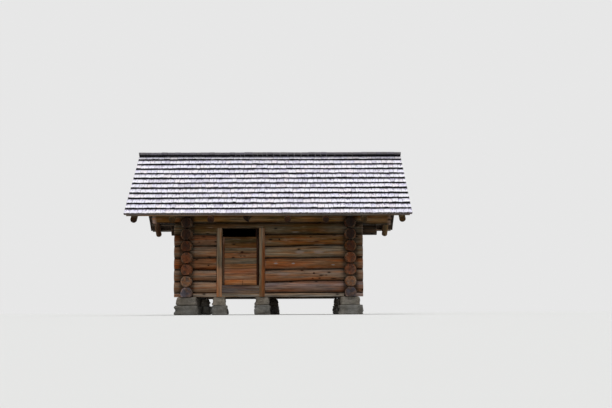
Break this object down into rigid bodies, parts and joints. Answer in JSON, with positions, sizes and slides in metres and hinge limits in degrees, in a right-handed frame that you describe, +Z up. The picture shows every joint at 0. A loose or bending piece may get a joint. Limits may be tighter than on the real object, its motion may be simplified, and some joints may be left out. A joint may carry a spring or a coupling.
{
  "type": "log cabin",
  "caption": "Small log cabin of saddle-notched round logs on stone piers, with a low plank door between posts and a pole-rafter roof of split wooden shingles.",
  "frame": {"origin": "on the ground under the middle of the cabin's box", "axes": "+X along the ridge, to the right seen from the door side; the door side faces -Y; +Z up"},
  "size_m": [5.6, 4.242, 3.4595],
  "materials": {
    "log_wood": "peeled logs weathered brown and grey",
    "post_wood": "hewn, weathered grey-brown",
    "sill_wood": "rough sawn, weathered light grey",
    "door_wood": "split boards, weathered brown",
    "roof_wood": "peeled poles, weathered",
    "floor_wood": "worn boards",
    "shingle": "split shingles weathered silver grey",
    "stone": "rough fieldstone"
  },
  "bodies": {
    "cabin": {"corner_chocks": "sill_wood", "door_post_left": "post_wood", "door_post_right": "post_wood", "door_threshold": "post_wood", "floor_joists": "floor_wood", "floor_planks": "floor_wood", "front_battens": "roof_wood", "front_lintel_log": "log_wood", "front_log_left_1": "log_wood", "front_log_left_2": "log_wood", "front_log_left_3": "log_wood", "front_log_left_4": "log_wood", "front_log_left_5": "log_wood", "front_log_right_1": "log_wood", "front_log_right_2": "log_wood", "front_log_right_3": "log_wood", "front_log_right_4": "log_wood", "front_log_right_5": "log_wood", "front_plate": "roof_wood", "front_rafters": "roof_wood", "front_shingles": "shingle", "front_sill": "sill_wood", "left_gable_logs_even": "log_wood", "left_gable_logs_odd": "log_wood", "left_wall_logs_even": "log_wood", "left_wall_logs_odd": "log_wood", "pier_base_stones": "stone", "pier_cap_stones": "stone", "rear_battens": "roof_wood", "rear_plate": "roof_wood", "rear_rafters": "roof_wood", "rear_shingles": "shingle", "rear_sill": "sill_wood", "rear_wall_logs_even": "log_wood", "rear_wall_logs_odd": "log_wood", "ridge_pole": "roof_wood", "ridge_shingles": "shingle", "right_gable_logs_even": "log_wood", "right_gable_logs_odd": "log_wood", "right_wall_logs_even": "log_wood", "right_wall_logs_odd": "log_wood"},
    "door": {"door_batten": "door_wood", "door_closing_stile": "door_wood", "door_planks": "door_wood", "door_turning_stave": "door_wood"}
  },
  "joints": [
    {"name": "door_hinge", "type": "hinge", "parent": "cabin", "child": "door", "pos_m": [-0.223, -1.756, 0.584], "axis": [0, 0, -1], "range_deg": [0, 90]}
  ]
}
